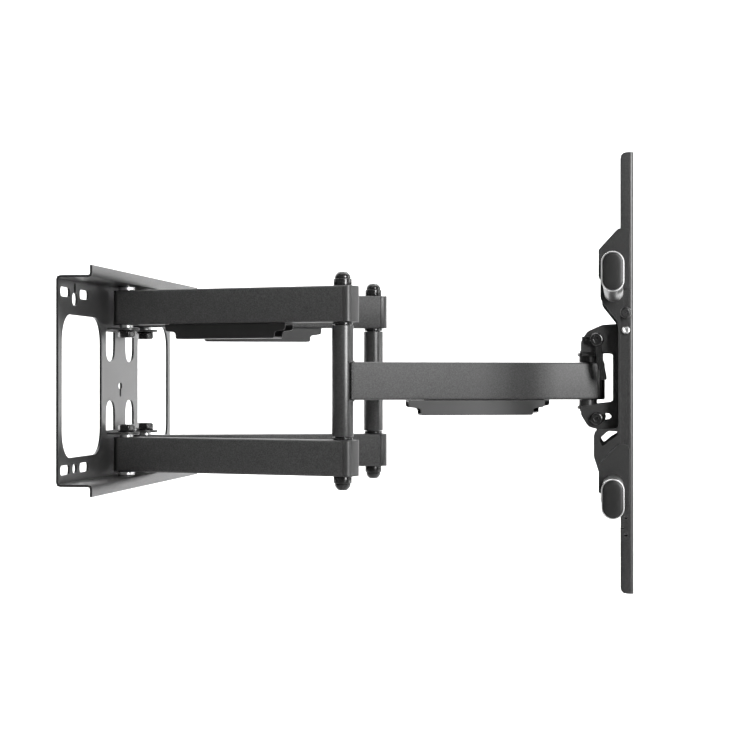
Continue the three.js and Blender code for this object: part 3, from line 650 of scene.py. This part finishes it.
for level in levels:
    node = "rail_" + level
    middle = middleOf(node)
    section = (reachOf(node, 0), reachOf(node, 2))
    half, wall = reachOf(node, 1) / 2, railLook["wall"]
    steps = [(-half, -0.4), (0.4 - half, 0), (half - 0.4, 0), (half, -0.4), (half, -wall), (-half, -wall)]
    mesh = railMesh(node + "Mesh", section, steps, True, middle)
    addPiece(node + "_fine", mesh, "powder_coat", "tilt_frame", (node,))
    for side, sign in (("near", -1), ("far", 1)):
        cap = f"rail_cap_{level}_{side}"
        capLow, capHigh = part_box(cap)
        face = capLow.y if sign < 0 else capHigh.y
        start = Vector((middle.x, face - sign * railLook["capLength"] * mm, middle.z))
        # the bright zinc rim is a painted highlight: a lighter ring where the lit end of the rail would show round
        # the cap
        highlightRim = [(0, 0.75), (3.4, 0.75), (3.9, 0.5), (4.0, -0.1), (3.7, -0.45), (0, -0.45)]
        plug = [(-11.5, -3.0), (-10, -2.4), (0.35, -2.4), (0.35, -0.6), (3.6, -0.6), (4.2, -0.8), (4.6, -1.9),
                (4.9, -4.5), (5.0, -8.0)]
        mesh = railMesh(cap + "RimMesh", section, [(sign * y, grow) for y, grow in highlightRim], True, start)
        addPiece(cap + "_rim", mesh, "zinc", "tilt_frame")
        mesh = railMesh(cap + "Mesh", section, [(sign * y, grow) for y, grow in plug], False, start)
        addPiece(cap + "_fine", mesh, "black_plastic", "tilt_frame", (cap,))
print("rails capped")


# the knob and the small screw on each screen bracket
knobLook = {"grip": 5.6, "tall": 9.0, "stem": 2.0, "collar": 5.0}
screwLook = {"head": 3.9, "tall": 3.2, "stem": 1.8, "hex": 1.7}


# a ribbed grip with a shallow dish in its face
def knobSteps(tall):
    grip, stem, collar = knobLook["grip"], knobLook["stem"], knobLook["collar"]
    foot = tall - knobLook["tall"]
    return [(stem - 0.3, 0), (stem, 0.4), (stem, foot), (collar - 0.4, foot), (collar, foot + 0.4),
            (collar, foot + 1.2), (grip, foot + 1.6, "grip"), (grip, tall - 3.6, "grip"),
            (grip - 0.5, tall - 2.7, "grip"), (4.0, tall - 1.5), (3.4, tall - 1.3), (3.2, tall - 1.6),
            (1.2, tall - 1.7), (1.0, tall - 1.3), (0.4, tall - 1.2)]


def screwSteps(tall):
    head, stem, hexRadius = screwLook["head"], screwLook["stem"], screwLook["hex"]
    foot = tall - screwLook["tall"]
    return [(stem - 0.3, 0), (stem, 0.4), (stem, foot), (head - 0.2, foot), (head, foot + 0.3),
            (head, foot + 1.6), (head - 0.4, foot + 2.5), (head - 1, tall), (hexRadius + 0.3, tall),
            (hexRadius, tall - 0.2, "hex"), (hexRadius, tall - 1.7, "hex")]


fasteners = (("lock_knob", "black_plastic", knobSteps), ("guard_screw", "zinc", screwSteps))
for side, turn in (("near", alongY), ("far", alongFarY)):
    body = "screen_bracket_" + side
    for kind, slot, stepsFor in fasteners:
        node = f"{kind}_{side}"
        low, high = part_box(node)
        middle = middleOf(node)
        start = Vector((middle.x, high.y if side == "near" else low.y, middle.z))
        mesh = turnedMesh(node + "Mesh", [(stepsFor(reachOf(node, 1)), False)], at(start, turn))
        addPiece(node + "_fine", mesh, slot, body, (node,))
print("fasteners turned")

# rivets that hold the centre plate on the tilt bracket
rivet = [(4.4, 0), (4.4, 0.5), (4.0, 1.0), (2.6, 1.5), (1.0, 1.6)]
rivetPlaces = ((-46, 46), (46, 46), (-46, -40), (46, -40))  # across and up
plateThick = 2.8
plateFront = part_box("tilt_bracket")[1].x + plateThick * mm
outward = Matrix.Rotation(math.radians(90), 4, "Y")
for i, (y, z) in enumerate(rivetPlaces):
    mesh = turnedMesh("rivetMesh", [(rivet, False)], at(Vector((plateFront, y * mm, z * mm)), outward))
    addPiece(f"centre_plate_rivet_{i}", mesh, "black_bolt", "tilt_frame")


# stage, light and camera, in metres
stageLook = {"floor": -0.62, "flat": 2.9, "curve": 1.3, "top": 4.5, "middle": 0.3, "white": 0.93,
             "shade": 0.4}


# a round white studio: a flat floor that curves up into a wall all the way round
def studio(bm):
    floorHeight, flat, radius = stageLook["floor"], stageLook["flat"], stageLook["curve"]
    steps = [(0.02, floorHeight), (flat, floorHeight)]
    for k in range(1, 17):
        angle = math.radians(90 * k / 16)
        steps.append((flat + radius * math.sin(angle), floorHeight + radius * (1 - math.cos(angle))))
    steps.append((flat + radius, stageLook["top"]))
    middle = Vector((stageLook["middle"], 0, 0))
    rings = [[bm.verts.new(point + middle) for point in ring(*step)] for step in steps]
    for first, second in zip(rings, rings[1:]):
        for i in range(ringPoints):
            k = (i + 1) % ringPoints
            bm.faces.new((first[i], first[k], second[k], second[i]))
    bm.faces.new(rings[0])


# white behind the object, greyer in front of it: the grey is painted shade, standing in for a dim studio on the
# camera's side
paper = Finish("palePaper", Metallic=0.0, Specular_IOR_Level=0.1)
fibre = paper.noise(300.0, 3.0, 0.6)
white, shade = stageLook["white"], stageLook["shade"]
depth = paper.node("ShaderNodeSeparateXYZ", {}, {"Vector": paper.place()}, out=1)
back = paper.ramp(depth * 0.25 + 0.5 + fibre * 0.01, 0.42, 0.72)
paper.into(Base_Color=paper.blend(back, grey(shade), grey(white)), Roughness=0.8 + fibre * 0.1)
floor = show(bpy.data.objects.new("floor", meshFrom(studio, "floorMesh")))
floor.data.materials.append(paper.material)
floor.data.shade_smooth()

world = bpy.data.worlds.new("studio")
bpy.context.scene.world = world
world.use_nodes = True
world.node_tree.nodes["Background"].inputs["Color"].default_value = (1, 1, 1, 1)
world.node_tree.nodes["Background"].inputs["Strength"].default_value = 0.1

lights = {
    "rightFront": {"place": (1.45, -1.2, 0.5), "aim": (0.45, 0.0, 0.0), "size": (0.4, 1.2), "power": 50},
    "overhead": {"place": (0.4, -0.2, 1.7), "aim": (0.3, 0.0, 0.0), "size": (1.6, 0.9), "power": 11},
    "screenSide": {"place": (2.1, 0.35, 0.1), "aim": (0.0, 0.0, 0.0), "size": (0.9, 1.3), "power": 20},
    "backdrop": {"place": (0.3, 1.4, 3.0), "aim": (0.3, 4.0, 0.2), "size": (4.5, 0.8), "power": 210},
    "floorGlow": {"place": (0.3, 1.2, 1.9), "aim": (0.3, 1.2, -0.6), "size": (4.0, 2.4), "power": 42},
}
for name, look in lights.items():
    data = bpy.data.lights.new(name, "AREA")
    data.shape = "RECTANGLE"
    data.size, data.size_y = look["size"]
    data.energy = look["power"]
    lamp = show(bpy.data.objects.new(name, data))
    lamp.location = look["place"]
    lamp.visible_camera = False
    aim = Vector(look["aim"]) - Vector(look["place"])
    lamp.rotation_euler = aim.to_track_quat("-Z", "Y").to_euler()

cameraLook = {"place": (0.5659, -2.0309, -0.0001), "turn": 6.47, "rise": 0.19, "lens": 88.19,
              "shift": -0.05}
camera = show(bpy.data.objects.new("camera", bpy.data.cameras.new("camera")))
camera.data.lens = cameraLook["lens"]
camera.data.sensor_width = 36
camera.data.shift_x = cameraLook["shift"]
camera.location = cameraLook["place"]
camera.rotation_euler = (math.radians(90 + cameraLook["rise"]), 0, math.radians(cameraLook["turn"]))
bpy.context.scene.camera = camera
bpy.context.scene.view_settings.view_transform = "Standard"
print("stage lit")
